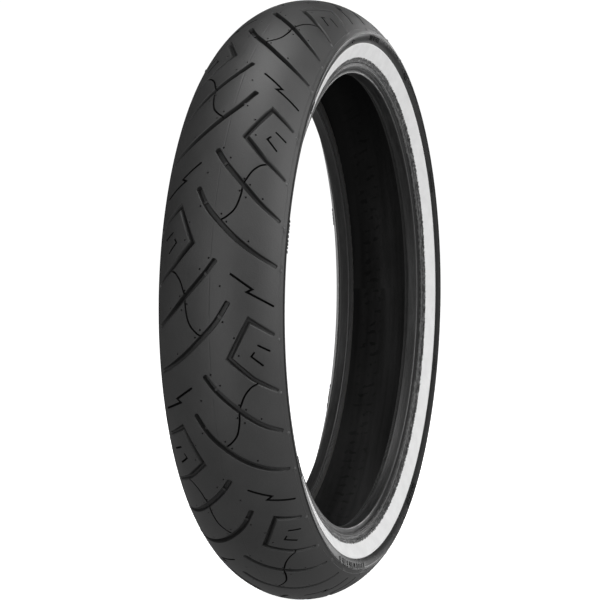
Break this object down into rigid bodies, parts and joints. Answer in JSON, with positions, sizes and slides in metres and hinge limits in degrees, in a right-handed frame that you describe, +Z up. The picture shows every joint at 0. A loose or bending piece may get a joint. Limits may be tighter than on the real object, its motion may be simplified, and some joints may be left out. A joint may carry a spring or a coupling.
{
  "type": "motorcycle tyre",
  "caption": "Low-profile motorcycle tyre with a swept-groove tread, round crown and a narrow white stripe on each sidewall, without its rim.",
  "frame": {"origin": "centre of the wheel, on the axle line and in the tyre's middle plane", "axes": "+Y along the axle, out of the right-hand bead; +Z up; +X forwards"},
  "size_m": [0.6386, 0.1276, 0.6385],
  "materials": {
    "tread_rubber": "matte moulded tread compound",
    "base_rubber": "matte black rubber",
    "belt_cord": "cord fabric calendered in rubber",
    "ply_cord": "cord fabric calendered in rubber",
    "liner_rubber": "smooth cured butyl with bladder marks",
    "side_rubber": "satin moulded sidewall rubber",
    "white_rubber": "buffed white sidewall rubber",
    "bead_rubber": "satin hard rubber",
    "chafer_cord": "square woven fabric in rubber",
    "wrap_cord": "fabric in rubber",
    "filler_rubber": "hard matte rubber",
    "bead_wire": "bronze-plated drawn steel wire"
  },
  "bodies": {
    "root": {"tread_cap": "tread_rubber", "tread_base": "base_rubber", "belt_edge_strip_right": "base_rubber", "belt_edge_strip_left": "base_rubber", "outer_belt": "belt_cord", "inner_belt": "belt_cord", "outer_ply": "ply_cord", "inner_ply": "ply_cord", "inner_liner": "liner_rubber", "sidewall_right": "side_rubber", "sidewall_left": "side_rubber", "white_stripe_right": "white_rubber", "white_stripe_left": "white_rubber", "rim_strip_right": "bead_rubber", "rim_strip_left": "bead_rubber", "chafer_right": "chafer_cord", "chafer_left": "chafer_cord", "bead_wrap_right": "wrap_cord", "bead_wrap_left": "wrap_cord", "bead_filler_right": "filler_rubber", "bead_filler_left": "filler_rubber", "bead_wires_right": "bead_wire", "bead_wires_left": "bead_wire"}
  },
  "joints": []
}
